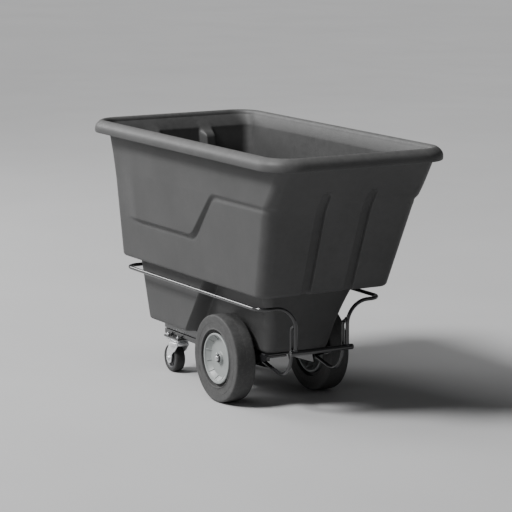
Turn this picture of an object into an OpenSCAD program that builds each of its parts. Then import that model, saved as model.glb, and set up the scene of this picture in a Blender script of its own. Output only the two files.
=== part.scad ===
// Tilt truck: a moulded plastic hopper on a welded steel chassis, with two
// large fixed wheels on a through axle and two small swivel casters behind.
// The origin is at floor level under the middle of the rim. +Z is up, the
// pouring nose points along -Y, and the pushing end is at +Y.

/* [Hopper] */
// Overall length of the rim, skirt to skirt
rim_length = 1364; // [1340:2:1390]
// Overall width of the rim, skirt to skirt
rim_width = 692; // [682:2:704]
// Height of the rim crest above the floor
rim_height = 914.4; // [908:0.4:926]
// Moulded wall thickness
wall = 7; // [6:0.5:8]
// How far the rim skirt hangs below its crest
skirt_drop = 44; // [38:1:48]
// Depth of the two flutes in the sloping nose
nose_flute = 12; // [6:1:16]
// Depth of the two flutes in the rear wall
back_flute = 34; // [20:1:38]

/* [Wheels] */
// Radius of the main wheels
wheel_r = 152.4; // [150:0.2:155]
// Width of the main tyres
tyre_w = 76.2; // [70:0.2:80]
// Distance between the middles of the two main tyres
track = 372; // [370:1:380]
// Position of the main axle along the truck
axle_y = -71; // [-80:1:-60]
// Radius of the main axle
axle_r = 9.5; // [8:0.25:10.5]
// Fins around each wheel centre
fins = 12; // [8:1:16]

/* [Casters] */
// Radius of the caster wheels
caster_r = 50.8; // [46:0.2:52]
// Width of the caster tread
caster_w = 37; // [30:1:38]
// Trail of the caster wheel behind its swivel
trail = 31; // [28:1:36]
// Swivel position to either side of the middle
caster_x = 115; // [112:0.5:118]
// Swivel position along the truck
caster_y = 399; // [394:1:404]

/* [Steelwork] */
// Radius of the bent guard rail and skid loops
rod_r = 6.5; // [5:0.25:7]
// Radius of the front crossbar
bar_r = 9.5; // [8:0.25:10]
// Height of the guard rail
rail_z = 378; // [374:1:386]
// Half the width across the guard rail
rail_x = 239.5; // [236:0.5:244]

/* [Hidden] */
$fn = 96;

half_l = rim_length / 2;
half_w = rim_width / 2;
axle_z = wheel_r;
wheel_x = track / 2;
floor_z = 188;          // underside of the hopper
ledge_z = 420;          // underside of the wide upper body
kink_z = 728;           // where the nose turns outward
wall_top = rim_height - skirt_drop - 4;
belly_depth = 8;        // thickness of the hopper floor

function clamp01(t) = max(0, min(1, t));
function ease(t) = let (c = clamp01(t)) c * c * (3 - 2 * c);
function mix(a, b, t) = a + (b - a) * t;

// ---- upper body, from the ledge up to the rim -------------------------
// nose position: a steady slope, steeper above the kink
function nose_y(z) = z < kink_z
  ? mix(-438, -546, (z - 430) / (kink_z - 430))
  : mix(-546, -641, pow(min(1, (z - kink_z) / (wall_top - kink_z)), 0.9));
function rear_y(z) = 588 + 17 * ease((z - 760) / 140);
function low_w(z) = 256 + 0.1226 * (min(z, 745) - 430);
function high_w(z) = z < 740 ? 285 + 0.0788 * (z - 575) : 298;
// height of the step in the side panel: low behind, high in front
function step_z(y) = 575 + max(0, min(165, -12 - y));
function panel_fade(y) = ease((520 - y) / 60) * ease((y + 560) / 60);
function side_w(y, z) =
  let (lw = low_w(z), hw = high_w(z), s = ease((z - step_z(y) + 8) / 16))
  z > 745 ? 298
  : lw + (hw - lw) * s * (z > 700 ? mix(panel_fade(y), 1, (z - 700) / 45) : panel_fade(y));

// ---- belly, between the chassis and the ledge --------------------------
function bnose_y(z) = -255 - 0.36 * (z - floor_z);
function brear_y(z) = 516 + 0.077 * (z - floor_z);
function wide_w(z) = 180 + 0.118 * (z - floor_z);
function well_w(z) = 122 + 0.14 * (z - floor_z);
function nosew(z) = 130 + 0.37 * (z - floor_z);
function well_y(z) = 221 - 0.868 * (z - floor_z);
function belly_w(y, z) =
  let (a = mix(nosew(z), well_w(z), ease((y + 300 + 0.2 * (z - floor_z)) / 70)))
  mix(a, wide_w(z), ease((y - well_y(z) + 14) / 28));

// ---- flutes -------------------------------------------------------------
// 1 inside a band of half width hw about c, easing to 0 over soft either side
function flute(x, c, hw, soft) =
  ease((hw + soft - abs(abs(x) - c)) / (2 * soft));
function nose_flute_c(z) = 81.5 + 7.5 * clamp01((z - 430) / 350);
function nose_dent(x, z) = nose_flute * flute(x, nose_flute_c(z), 17, 4)
  * ease((790 - z) / 22);
function back_dent(x, z) = back_flute * flute(x, 108, 24, 9)
  * ease((wall_top - 6 - z) / 30) * ease((z - 436) / 60);

// Where the sampled side of a ring is crossed by a sloping feature: the front
// edge of the wide belly, or the diagonal of the side panel.
function side_mark(kind, z) = kind == 0 ? well_y(z) : -12 - max(0, min(165, z - 575));
side_f = [0.1, 0.3, 0.55, 0.8];
side_m = [-16, -8, 0, 8, 16];
side_b = [0.16, 0.42, 0.7, 0.9];
arc_a = [0, 20, 45, 70, 90];

function ring_w(kind, y, z, w0, d = 0) = kind == 0 ? belly_w(y - (d < wall ? 0 : 5), z) : kind == 1 ? side_w(y, z) : w0;
// half outline, from the middle of the nose round to the middle of the rear
// kind 0 is the belly, kind 1 the upper body, kind 2 a plain rim outline
function half_ring(kind, z, yf, yb, r, d, w0) =
  let (wf = ring_w(kind, yf + r, z, w0, d) - d, wb = ring_w(kind, yb - r, z, w0, d) - d,
       f = yf + d, b = yb - d, rr = max(6, r - d), m = side_mark(kind, z) + (kind == 0 && d >= wall ? 5 : 0),
       c = nose_flute_c(z), y0 = f + rr, y1 = b - rr, bow = kind == 0 ? 1.5 : 0,
       nx = kind == 1 ? [0, c - 21, c - 13, c + 13, c + 21, mix(c + 21, wf - rr, 0.6)]
                      : [for (t = [0, 0.25, 0.4, 0.6, 0.75, 0.9]) t * (wf - rr)],
       bx = kind == 1 ? [0, 75, 93, 123, 141, mix(141, wb - rr, 0.6)]
                      : [for (t = [0, 0.25, 0.4, 0.6, 0.75, 0.9]) t * (wb - rr)])
  concat(
    [for (x = nx) [x, f - bow + bow * pow(x / (wf - rr), 2) + (kind == 1 ? nose_dent(x, z) : 0), z]],
    [for (a = arc_a) [wf - rr + rr * sin(a), f + rr - rr * cos(a), z]],
    [for (t = side_f) let (y = mix(y0, m - 16, t)) [ring_w(kind, y, z, w0, d) - d, y, z]],
    [for (t = side_m) let (y = m + t) [ring_w(kind, y, z, w0, d) - d, y, z]],
    [for (t = side_b) let (y = mix(m + 16, y1, t)) [ring_w(kind, y, z, w0, d) - d, y, z]],
    [for (a = arc_a) [wb - rr + rr * cos(a), b - rr + rr * sin(a), z]],
    [for (i = [len(bx) - 1 : -1 : 0]) [bx[i], b + bow - bow * pow(bx[i] / (wb - rr), 2) - (kind == 1 ? back_dent(bx[i], z) : 0), z]]
  );
// full outline: right half, then the mirrored left half without its end points
function ring(h) = concat(h,
  [for (i = [len(h) - 2 : -1 : 1]) [-h[i][0], h[i][1], h[i][2]]]);

function body_ring(kind, z, d, r) = ring(half_ring(kind, z,
  kind == 0 ? bnose_y(z) : nose_y(z), kind == 0 ? brear_y(z) : rear_y(z), r, d, 0));
function rim_ring(z, w, l, r) = ring(half_ring(2, z, -l, l, r, 0, w));

belly_r = 30;
function body_r(z) = z < 740 ? 44 : 38;
// rim outline set in by d from its widest line
function lip(z, d) = rim_ring(z, half_w - d, half_l - d, 112 - 1.05 * d);
skirt_z = rim_height - skirt_drop;
outer_rings = concat(
  [body_ring(0, floor_z, 12, 24)],
  [body_ring(0, floor_z + 4, 4, 28)],
  [for (z = [floor_z + 14, 235, 290, 350, ledge_z]) body_ring(0, z, 0, belly_r)],
  [body_ring(1, ledge_z, 17, body_r(0)), body_ring(1, ledge_z + 4, 7, body_r(0)),
   body_ring(1, ledge_z + 12, 1.5, body_r(0))],
  [for (z = [445, 520, 567, 575, 583, 650, 712, 728, 740, 750, 768, 790, 825, wall_top])
    body_ring(1, z, 0, body_r(z))],
  [lip(rim_height - 16, 34), lip(rim_height - 8, 28), lip(rim_height - 8, 20), lip(rim_height - 19, 10),
   lip(skirt_z + 2, 7), lip(skirt_z, 4.5), lip(skirt_z + 3, 1), lip(skirt_z + 10, 0),
   lip(skirt_z + 24, 2.5), lip(rim_height - 11, 9), lip(rim_height - 4, 17), lip(rim_height - 0.6, 21.5), lip(rim_height, 24)]);
inner_rings = concat(
  [lip(rim_height, 30), lip(rim_height - 3.5, 36), lip(rim_height - 14, 41)],
  [for (z = [wall_top + 2, 825, 790, 768, 750, 740, 728, 712, 650, 583, 575, 567, 520, 450])
    body_ring(1, z, wall, body_r(z))],
  [body_ring(1, ledge_z + 16, wall + 4, body_r(0)), body_ring(1, ledge_z + wall, wall + 18, body_r(0))],
  [for (z = [ledge_z + wall - 3, 350, 290, 235, floor_z + belly_depth + 10])
    body_ring(0, z, wall, belly_r)],
  [body_ring(0, floor_z + belly_depth, wall + 9, 22)]);
all_rings = concat(outer_rings, inner_rings);
ring_n = len(all_rings[0]);
ring_count = len(all_rings);

// end face of the stack, as strips between mirrored pairs of points
half_n = ring_n / 2;
function cap(o, flip) = [for (i = [0 : half_n - 1])
  let (a = o + i, b = o + i + 1, c = o + (ring_n - i - 1) % ring_n, d = o + (ring_n - i) % ring_n)
  each [for (t = [[a, b, c], [a, c, d]]) if (t[0] != t[1] && t[1] != t[2] && t[0] != t[2])
    flip ? [t[2], t[1], t[0]] : t]];

module hopper_shell() {
  polyhedron(
    points = [for (r = all_rings) each r],
    faces = concat(
      cap(0, false),
      [for (k = [0 : ring_count - 2], i = [0 : ring_n - 1])
        let (j = (i + 1) % ring_n) [k * ring_n + i, (k + 1) * ring_n + i, (k + 1) * ring_n + j]],
      [for (k = [0 : ring_count - 2], i = [0 : ring_n - 1])
        let (j = (i + 1) % ring_n) [k * ring_n + i, (k + 1) * ring_n + j, k * ring_n + j]],
      cap((ring_count - 1) * ring_n, true)
    ), convexity = 8);
}

hopper_bolt_xy = [for (x = [-62, 62], y = [-190, 60, 400]) [x, y]];
bolt_r = 4;
module hopper() {
  // the floor bolts are a tight fit in the floor, so it has no clearance holes
  color([0.21, 0.22, 0.22]) hopper_shell();
}
module hex(r, h) { cylinder(r = r, h = h, $fn = 6); }
module hopper_bolts() {
  color([0.72, 0.73, 0.74]) for (p = hopper_bolt_xy) translate([p[0], p[1], 0])
    rotate_extrude($fn = 32) polygon([[0, 166], [bolt_r, 166], [bolt_r, floor_z + belly_depth],
      [9, floor_z + belly_depth], [8, floor_z + belly_depth + 3], [4, floor_z + belly_depth + 4.6], [0, floor_z + belly_depth + 5]]);
}
module hopper_washers() {
  color([0.72, 0.73, 0.74]) for (p = hopper_bolt_xy) translate([p[0], p[1], 175.4])
    difference() { cylinder(r = 9, h = 1.6, $fn = 32); translate([0, 0, -1]) cylinder(r = bolt_r + 0.3, h = 4, $fn = 32); }
}
module hopper_nuts() {
  color([0.72, 0.73, 0.74]) for (p = hopper_bolt_xy) translate([p[0], p[1], 168.8])
    difference() { hex(7.5, 6.6); translate([0, 0, -1]) cylinder(r = bolt_r, h = 9, $fn = 32); }
}

// ---- bent rod pieces ------------------------------------------------------
module rod_x(x0, x1, y, z, r) { translate([min(x0, x1), y, z]) rotate([0, 90, 0]) cylinder(r = r, h = abs(x1 - x0), $fn = 32); }
module rod_y(x, y0, y1, z, r) { translate([x, min(y0, y1), z]) rotate([-90, 0, 0]) cylinder(r = r, h = abs(y1 - y0), $fn = 32); }
module rod_z(x, y, z0, z1, r) { translate([x, y, min(z0, z1)]) cylinder(r = r, h = abs(z1 - z0), $fn = 32); }
// quarter bend in a horizontal plane, turning from +X round to +Y
module bend(R, r, a = 90) { rotate_extrude(angle = a, $fn = 96) translate([R, 0]) circle(r = r, $fn = 32); }

rail_front = -404;
rail_rear = 574;
plan_r = 50;
drop_r = 80;
rod_x0 = 101;
bar_z = 220.5;
module rail_half() {
  // upright, then the wide bend out to the side
  rod_z(rod_x0, rail_front, bar_z + bar_r - 1.5, rail_z - drop_r, rod_r);
  translate([rod_x0 + drop_r, rail_front, rail_z - drop_r]) rotate([90, 0, 0]) rotate([0, 0, 90]) bend(drop_r, rod_r);
  rod_x(rod_x0 + drop_r, rail_x - plan_r, rail_front, rail_z, rod_r);
  translate([rail_x - plan_r, rail_front + plan_r, rail_z]) rotate([0, 0, -90]) bend(plan_r, rod_r);
  rod_y(rail_x, rail_front + plan_r, rail_rear - plan_r, rail_z, rod_r);
  translate([rail_x - plan_r, rail_rear - plan_r, rail_z]) bend(plan_r, rod_r);
  rod_x(0, rail_x - plan_r, rail_rear, rail_z, rod_r);
}
module guard_rail() {
  color([0.05, 0.05, 0.055]) { rail_half(); mirror([1, 0, 0]) rail_half(); }
}
// flat tabs that hang the rear of the rail from the underside of the ledge
tab_x = 45;
module one_tab() {
  difference() {
    union() {
      translate([tab_x - 12, rail_rear - 2, rail_z + rod_r - 1]) cube([24, 4, ledge_z - rail_z - rod_r + 1]);
      translate([tab_x - 12, rail_rear - 34, ledge_z - 4]) cube([24, 34, 4]);
    }
    translate([tab_x, rail_rear - 20, ledge_z - 8]) cylinder(r = 3.3, h = 12, $fn = 32);
  }
}
module rail_tabs() {
  color([0.05, 0.05, 0.055]) { one_tab(); mirror([1, 0, 0]) one_tab(); }
}
module rail_tab_bolts() {
  color([0.72, 0.73, 0.74]) for (s = [-1, 1]) translate([s * tab_x, rail_rear - 20, ledge_z - 8]) {
    hex(5.8, 4);
    translate([0, 0, 3.9]) cylinder(r = 3, h = 12, $fn = 32);
  }
}

loop_y = -375;
loop_r = 75;
loop_top = 292;
loop_mid = 206;
tip_r = 16;
tail_a = 12;
module skid_loop(s) {
  color([0.05, 0.05, 0.055]) translate([s * rod_x0, 0, 0]) {
    // upper tip bends forward to meet the upright
    translate([0, loop_y - tip_r, loop_top]) rotate([90, 0, 90]) bend(tip_r, rod_r, 60);
    translate([0, loop_y - tip_r, loop_top]) rotate([60, 0, 0]) translate([0, tip_r, -1]) cylinder(r = rod_r - 0.1, h = 21, $fn = 32);
    rod_z(0, loop_y, loop_mid, loop_top, rod_r);
    // the hook, then a tail rising to the axle bracket
    translate([0, loop_y + loop_r, loop_mid]) rotate([90, 0, 90]) rotate([0, 0, 180]) bend(loop_r, rod_r, 90 + tail_a);
    translate([0, loop_y + loop_r, loop_mid]) rotate([tail_a, 0, 0]) translate([0, -2, -loop_r]) rotate([-90, 0, 0]) cylinder(r = rod_r - 0.1, h = 113, $fn = 32);
  }
}
module skid_loop_left() { skid_loop(-1); }
module skid_loop_right() { skid_loop(1); }
module crossbar() {
  color([0.05, 0.05, 0.055]) translate([0, rail_front, bar_z]) rotate([0, 90, 0])
    rotate_extrude($fn = 48) polygon([[0, -123], [bar_r - 1.5, -123], [bar_r, -121.5], [bar_r, 121.5], [bar_r - 1.5, 123], [0, 123]]);
}

// ---- chassis ----------------------------------------------------------------
module base_plate() {
  color([0.06, 0.06, 0.065]) difference() {
    translate([-118, -254, floor_z - 5]) cube([236, 724, 5]);
    for (p = hopper_bolt_xy) translate([p[0], p[1], floor_z - 10]) cylinder(r = bolt_r + 0.3, h = 20, $fn = 32);
    // lightening windows
    for (y = [-70, 225]) translate([0, y, floor_z - 10]) cylinder(r = 45, h = 20);
  }
}
rail_out = 128;
rail_low = 135;
// angle above, box tube below, with a narrow gap between them on the outside
module side_rail(s) {
  color([0.06, 0.06, 0.065]) mirror([s < 0 ? 1 : 0, 0, 0]) difference() {
    translate([0, 480, 0]) rotate([90, 0, 0]) linear_extrude(height = 738)
      polygon([[50, floor_z - 11], [50, floor_z - 5], [rail_out, floor_z - 5], [rail_out, 157], [rail_out - 6, 157],
        [rail_out - 6, 153], [rail_out, 153], [rail_out, rail_low], [rail_out - 20, rail_low], [rail_out - 20, 153],
        [rail_out - 12, 153], [rail_out - 12, floor_z - 11]]);
    // hollow of the tube, then the swept-up front end
    translate([rail_out - 17, -300, rail_low + 3]) cube([14, 820, 12]);
    translate([40, 0, 0]) rotate([90, 0, 90]) linear_extrude(height = 120)
      polygon([[-270, rail_low - 5], [-115, rail_low - 5], [-130, rail_low], [-258, 168], [-270, 168]]);
    translate([rail_out - 40, axle_y, axle_z]) rotate([0, 90, 0]) cylinder(r = axle_r, h = 60, $fn = 48);
    for (p = hopper_bolt_xy) if (p[0] > 0) translate([p[0], p[1], floor_z - 20]) cylinder(r = bolt_r + 0.3, h = 20, $fn = 32);
  }
}
module side_rail_left() { side_rail(-1); }
module side_rail_right() { side_rail(1); }
// plates that carry the axle inboard of the rails and take the loop tails
module axle_bracket(s) {
  color([0.06, 0.06, 0.065]) mirror([s < 0 ? 1 : 0, 0, 0]) difference() {
    translate([rod_x0 - rod_r + 1, 0, 0]) rotate([90, 0, -90]) linear_extrude(height = 6)
      polygon([[190, floor_z - 11], [205, 132], [-axle_y + 24, 126], [-axle_y - 24, 126], [-axle_y - 70, floor_z - 11]]);
    translate([rod_x0 - 30, axle_y, axle_z]) rotate([0, 90, 0]) cylinder(r = axle_r, h = 40, $fn = 48);
  }
}
module axle_bracket_left() { axle_bracket(-1); }
module axle_bracket_right() { axle_bracket(1); }

plate_w = 60;
plate_l = 92;
bolt_dx = 22.25;
bolt_dy = 38;
cross_y = caster_y + 14;
caster_bolt_xy = [for (x = [-bolt_dx, bolt_dx], y = [-bolt_dy, bolt_dy]) [x, y]];
module caster_crossmember() {
  color([0.06, 0.06, 0.065]) difference() {
    union() {
      translate([-147, caster_y - 54, rail_low - 5]) cube([294, 108, 5]);
      for (y = [caster_y - 54, caster_y + 49]) translate([-(rail_out - 20.5), y, rail_low]) cube([2 * (rail_out - 20.5), 5, 26]);
    }
    for (s = [-1, 1], p = caster_bolt_xy) translate([s * caster_x + p[0], caster_y + p[1], rail_low - 10])
      cylinder(r = bolt_r + 0.3, h = 20, $fn = 32);
  }
}

// ---- main axle and wheels ---------------------------------------------------
axle_half = 221;
hub_in = 134;
hub_out = 211.5;
module axle() {
  color([0.7, 0.71, 0.72]) difference() {
    translate([0, axle_y, axle_z]) rotate([0, 90, 0])
      rotate_extrude($fn = 64) polygon([[0, -axle_half], [axle_r - 1.5, -axle_half], [axle_r, -axle_half + 1.5],
        [axle_r, axle_half - 1.5], [axle_r - 1.5, axle_half], [0, axle_half]]);
    for (s = [-1, 1]) translate([s * (hub_out + 5.3), axle_y, axle_z - 20]) cylinder(r = 2, h = 40, $fn = 32);
  }
}
module axle_washer(x0, x1, ro, ri) {
  translate([x0, axle_y, axle_z]) rotate([0, 90, 0]) difference() {
    cylinder(r = ro, h = x1 - x0, $fn = 48);
    translate([0, 0, -1]) cylinder(r = ri, h = x1 - x0 + 2, $fn = 48);
  }
}
module axle_spacers() {
  color([0.7, 0.71, 0.72]) for (s = [-1, 1])
    axle_washer(s > 0 ? rail_out : -(hub_in - 0.4), s > 0 ? hub_in - 0.4 : -rail_out, 16, axle_r);
}
module axle_washers() {
  color([0.7, 0.71, 0.72]) for (s = [-1, 1])
    axle_washer(s > 0 ? hub_out + 0.4 : -(hub_out + 3), s > 0 ? hub_out + 3 : -(hub_out + 0.4), 13.5, axle_r);
}
module cotter_pins() {
  color([0.75, 0.76, 0.77]) for (s = [-1, 1]) translate([s * (hub_out + 5.3), axle_y, axle_z]) {
    translate([0, 0, -16]) cylinder(r = 1.9, h = 30, $fn = 32);
    translate([0, 0, 16.5]) rotate([0, 90, 0]) rotate_extrude($fn = 32) translate([3.4, 0]) circle(r = 1.4, $fn = 24);
  }
}
bearing_r = 14;
rim_r = 88.3;
bead_r = 101.4;
half_t = tyre_w / 2;
// tyre: rounded shoulders, a raised bead ring, and a seat that grips the centre
module tyre(s) {
  color([0.12, 0.12, 0.125]) translate([s * wheel_x, axle_y, axle_z]) rotate([0, s * 90, 0])
    rotate_extrude($fn = 128) difference() {
      union() {
        polygon(concat(
          [[bead_r - 5, -half_t + 2], [bead_r, -half_t], [bead_r + 8, -half_t + 1.5], [wheel_r - 22, -half_t + 0.6]],
          [for (a = [0 : 15 : 90]) [wheel_r - 6.5 + 5 * sin(a), -half_t + 5.6 - 5 * cos(a)]],
          [[wheel_r - 1.2, -half_t + 20], [wheel_r, 0], [wheel_r - 1.2, half_t - 20]],
          [for (a = [90 : -15 : 0]) [wheel_r - 6.5 + 5 * sin(a), half_t - 5.6 + 5 * cos(a)]],
          [[wheel_r - 22, half_t - 0.6], [bead_r + 8, half_t - 1.5], [bead_r, half_t], [bead_r - 5, half_t - 2],
           [rim_r + 5, half_t - 7], [rim_r, half_t - 8], [rim_r - 4, 20], [rim_r - 4, -20], [rim_r, -half_t + 8], [rim_r + 5, -half_t + 7]]));
      }
    }
}
module tyre_left() { tyre(-1); }
module tyre_right() { tyre(1); }
// wheel centre: rolled rim lips, a deep dish each side, fins, web and hub
web_out = 16;      // outer face of the web from the middle of the wheel
web_in = 10;
hub_r = 21;
function hub_a(s) = hub_in - wheel_x;
module wheel_centre(s) {
  color([0.62, 0.65, 0.64]) translate([s * wheel_x, axle_y, axle_z]) rotate([0, s * 90, 0]) {
    rotate_extrude($fn = 128) polygon([
      [bearing_r, hub_in - wheel_x + 1], [hub_r - 1, hub_in - wheel_x], [hub_r, hub_in - wheel_x + 1], [hub_r, web_in - 3], [hub_r + 3, web_in],
      [66, web_in], [80, -half_t + 5], [81.5, -half_t + 2.5], [rim_r - 2, -half_t + 2], [rim_r, -half_t + 4],
      [rim_r, -half_t + 8], [rim_r - 4, -20], [rim_r - 4, 20],
      [rim_r, half_t - 8], [rim_r, half_t - 4], [rim_r - 2, half_t - 2], [81.5, half_t - 2.5], [80.5, half_t - 5],
      [67, web_out + 1], [65, web_out], [hub_r + 2, web_out], [hub_r - 1, web_out + 2], [hub_r - 3, hub_out - wheel_x - 1], [hub_r - 4, hub_out - wheel_x],
      [bearing_r, hub_out - wheel_x - 1]]);
    for (i = [0 : fins - 1]) rotate([0, 0, i * 360 / fins + 15]) {
      rotate([90, 0, 0]) linear_extrude(height = 3, center = true)
        polygon([[60, web_out - 1.5], [74, web_out - 1.5], [82.3, half_t - 6.6], [78.4, half_t - 6.6]]);
      rotate([90, 0, 0]) linear_extrude(height = 3, center = true)
        polygon([[hub_r - 2, web_in + 1.5], [70, web_in + 1.5], [82, -half_t + 6.6], [77, -half_t + 6.6], [hub_r - 2, -half_t + 22.7]]);
    }
  }
}
module wheel_centre_left() { wheel_centre(-1); }
module wheel_centre_right() { wheel_centre(1); }
module wheel_bearings(s) {
  color([0.5, 0.5, 0.52]) translate([s * wheel_x, axle_y, axle_z]) rotate([0, s * 90, 0])
    for (z = [hub_in - wheel_x, hub_out - wheel_x - 24]) translate([0, 0, z]) difference() {
      cylinder(r = bearing_r, h = 24, $fn = 64);
      translate([0, 0, -1]) cylinder(r = axle_r + 0.06, h = 26, $fn = 64);
    }
}
module wheel_bearings_left() { wheel_bearings(-1); }
module wheel_bearings_right() { wheel_bearings(1); }

// ---- casters ------------------------------------------------------------------
plate_top = rail_low - 5;
plate_bot = plate_top - 3.5;
race_bot = 118;
crown_top = race_bot - 0.5;
crown_r = 36;
fork_half = 24.5;
leg_t = 3;
pin_r = 5.5;
module at_caster(s) { translate([s * caster_x, caster_y, 0]) children(); }
// plate and upper race in place
module caster_plate_body(s) {
  color([0.7, 0.71, 0.72]) at_caster(s) difference() {
    union() {
      translate([-plate_w / 2, -plate_l / 2, plate_bot]) cube([plate_w, plate_l, plate_top - plate_bot]);
      translate([0, 0, race_bot + 1.5]) cylinder(r1 = 29.5, r2 = 33, h = plate_bot - race_bot - 1.5);
    }
    translate([0, 0, race_bot - 1]) cylinder(r = 26, h = 5.5);
    translate([0, 0, race_bot - 10]) cylinder(r = pin_r, h = 40, $fn = 48);
    for (p = caster_bolt_xy) translate([p[0], p[1], 100]) cylinder(r = bolt_r + 0.3, h = 60, $fn = 32);
  }
}
module caster_plate_left() { caster_plate_body(-1); }
module caster_plate_right() { caster_plate_body(1); }
module caster_kingpin(s) {
  color([0.7, 0.71, 0.72]) at_caster(s) rotate_extrude($fn = 48)
    polygon([[0, 106], [9, 106], [10, 107.5], [10, 111.2], [pin_r, 111.2], [pin_r, plate_top - 0.3], [0, plate_top - 0.3]]);
}
module caster_kingpin_left() { caster_kingpin(-1); }
module caster_kingpin_right() { caster_kingpin(1); }
module caster_balls(s) {
  color([0.8, 0.8, 0.82]) at_caster(s) for (i = [0 : 13]) rotate([0, 0, i * 360 / 14])
    translate([20.5, 0, crown_top + 1.9]) sphere(r = 2, $fn = 24);
}
module caster_balls_left() { caster_balls(-1); }
module caster_balls_right() { caster_balls(1); }
module caster_bolts(s) {
  color([0.72, 0.73, 0.74]) at_caster(s) for (p = caster_bolt_xy) translate([p[0], p[1], 0]) {
    translate([0, 0, plate_bot - 5]) hex(7, 5);
    translate([0, 0, plate_bot - 0.1]) cylinder(r = bolt_r, h = 20, $fn = 32);
  }
}
module caster_bolts_left() { caster_bolts(-1); }
module caster_bolts_right() { caster_bolts(1); }
module caster_nuts(s) {
  color([0.72, 0.73, 0.74]) at_caster(s) for (p = caster_bolt_xy) translate([p[0], p[1], rail_low])
    difference() { hex(7.2, 6); translate([0, 0, -1]) cylinder(r = bolt_r, h = 9, $fn = 32); }
}
module caster_nuts_left() { caster_nuts(-1); }
module caster_nuts_right() { caster_nuts(1); }
module leg_outline() {
  // seen from the side: y along the truck, z up; wide crown, narrow foot
  polygon(concat(
    [[-27, crown_top - 1], [-33, crown_top - 13], [-6, caster_r + 21]],
    [for (a = [205 : 15 : 385]) [trail + 18 * cos(a), caster_r + 18 * sin(a)]],
    [[trail + 14, caster_r + 26], [31, crown_top - 14], [27, crown_top - 1]]));
}
module caster_fork(s) {
  color([0.66, 0.68, 0.69]) at_caster(s) difference() {
    union() {
      // pressed cup: flat crown with a turned-down skirt
      rotate_extrude($fn = 64) polygon([[0, crown_top - 3], [crown_r - 6, crown_top - 3], [crown_r - 3, crown_top - 6],
        [crown_r - 3, crown_top - 13], [crown_r, crown_top - 13], [crown_r, crown_top - 5],
        [crown_r - 1.5, crown_top - 1.5], [crown_r - 5, crown_top], [0, crown_top]]);
      for (m = [-1, 1]) translate([m * (fork_half - leg_t / 2), 0, 0])
        rotate([90, 0, 90]) translate([0, 0, -leg_t / 2]) linear_extrude(height = leg_t) leg_outline();
    }
    translate([0, 0, crown_top - 20]) cylinder(r = pin_r + 0.06, h = 40, $fn = 48);
    translate([0, trail, caster_r]) rotate([0, 90, 0]) translate([0, 0, -40]) cylinder(r = 4.2, h = 80, $fn = 32);
  }
}
module caster_fork_left() { caster_fork(-1); }
module caster_fork_right() { caster_fork(1); }
module caster_axle(s) {
  color([0.75, 0.76, 0.77]) at_caster(s) translate([0, trail, caster_r]) rotate([0, s * 90, 0]) {
    translate([0, 0, fork_half]) hex(7, 5);
    translate([0, 0, -fork_half - 8]) cylinder(r = 4, h = 2 * fork_half + 8.2, $fn = 32);
  }
}
module caster_axle_left() { caster_axle(-1); }
module caster_axle_right() { caster_axle(1); }
module caster_axle_nut(s) {
  color([0.75, 0.76, 0.77]) at_caster(s) translate([0, trail, caster_r]) rotate([0, s * 90, 0])
    translate([0, 0, -fork_half - 6.5]) difference() { hex(7, 6.5); translate([0, 0, -1]) cylinder(r = 4, h = 9, $fn = 32); }
}
module caster_axle_nut_left() { caster_axle_nut(-1); }
module caster_axle_nut_right() { caster_axle_nut(1); }
module caster_bush(s) {
  color([0.6, 0.6, 0.62]) at_caster(s) translate([0, trail, caster_r]) rotate([0, 90, 0]) difference() {
    translate([0, 0, -(fork_half - leg_t)]) cylinder(r = 6.5, h = 2 * (fork_half - leg_t), $fn = 48);
    translate([0, 0, -30]) cylinder(r = 4, h = 60, $fn = 32);
  }
}
module caster_bush_left() { caster_bush(-1); }
module caster_bush_right() { caster_bush(1); }
core_r = caster_r - 11;
module caster_core(s) {
  color([0.1, 0.1, 0.105]) at_caster(s) translate([0, trail, caster_r]) rotate([0, 90, 0])
    rotate_extrude($fn = 64) let (h = caster_w / 2) polygon([
      [6.56, -h - 1.5], [12, -h - 1.5], [13, -h + 3], [core_r - 7, -h + 5], [core_r - 5, -h + 1], [core_r, -h + 1],
      [core_r, h - 1], [core_r - 5, h - 1], [core_r - 7, h - 5], [13, h - 3], [12, h + 1.5], [6.56, h + 1.5]]);
}
module caster_core_left() { caster_core(-1); }
module caster_core_right() { caster_core(1); }
module caster_tread(s) {
  color([0.09, 0.09, 0.09]) at_caster(s) translate([0, trail, caster_r]) rotate([0, 90, 0])
    rotate_extrude($fn = 96) let (h = caster_w / 2) polygon([
      [core_r, -h + 1], [core_r + 4, -h], [caster_r - 4, -h + 0.5], [caster_r - 1, -h + 4], [caster_r, -h + 9], [caster_r, h - 9],
      [caster_r - 1, h - 4], [caster_r - 4, h - 0.5], [core_r + 4, h], [core_r, h - 1]]);
}
module caster_tread_left() { caster_tread(-1); }
module caster_tread_right() { caster_tread(1); }

hopper();
hopper_bolts();
hopper_washers();
hopper_nuts();
guard_rail();
rail_tabs();
rail_tab_bolts();
skid_loop_left();
skid_loop_right();
crossbar();
base_plate();
side_rail_left();
side_rail_right();
axle_bracket_left();
axle_bracket_right();
caster_crossmember();
axle();
axle_spacers();
axle_washers();
cotter_pins();
tyre_left();
wheel_centre_left();
wheel_bearings_left();
tyre_right();
wheel_centre_right();
wheel_bearings_right();
caster_plate_left();
caster_kingpin_left();
caster_balls_left();
caster_bolts_left();
caster_nuts_left();
caster_fork_left();
caster_axle_left();
caster_axle_nut_left();
caster_bush_left();
caster_core_left();
caster_tread_left();
caster_plate_right();
caster_kingpin_right();
caster_balls_right();
caster_bolts_right();
caster_nuts_right();
caster_fork_right();
caster_axle_right();
caster_axle_nut_right();
caster_bush_right();
caster_core_right();
caster_tread_right();
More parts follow.
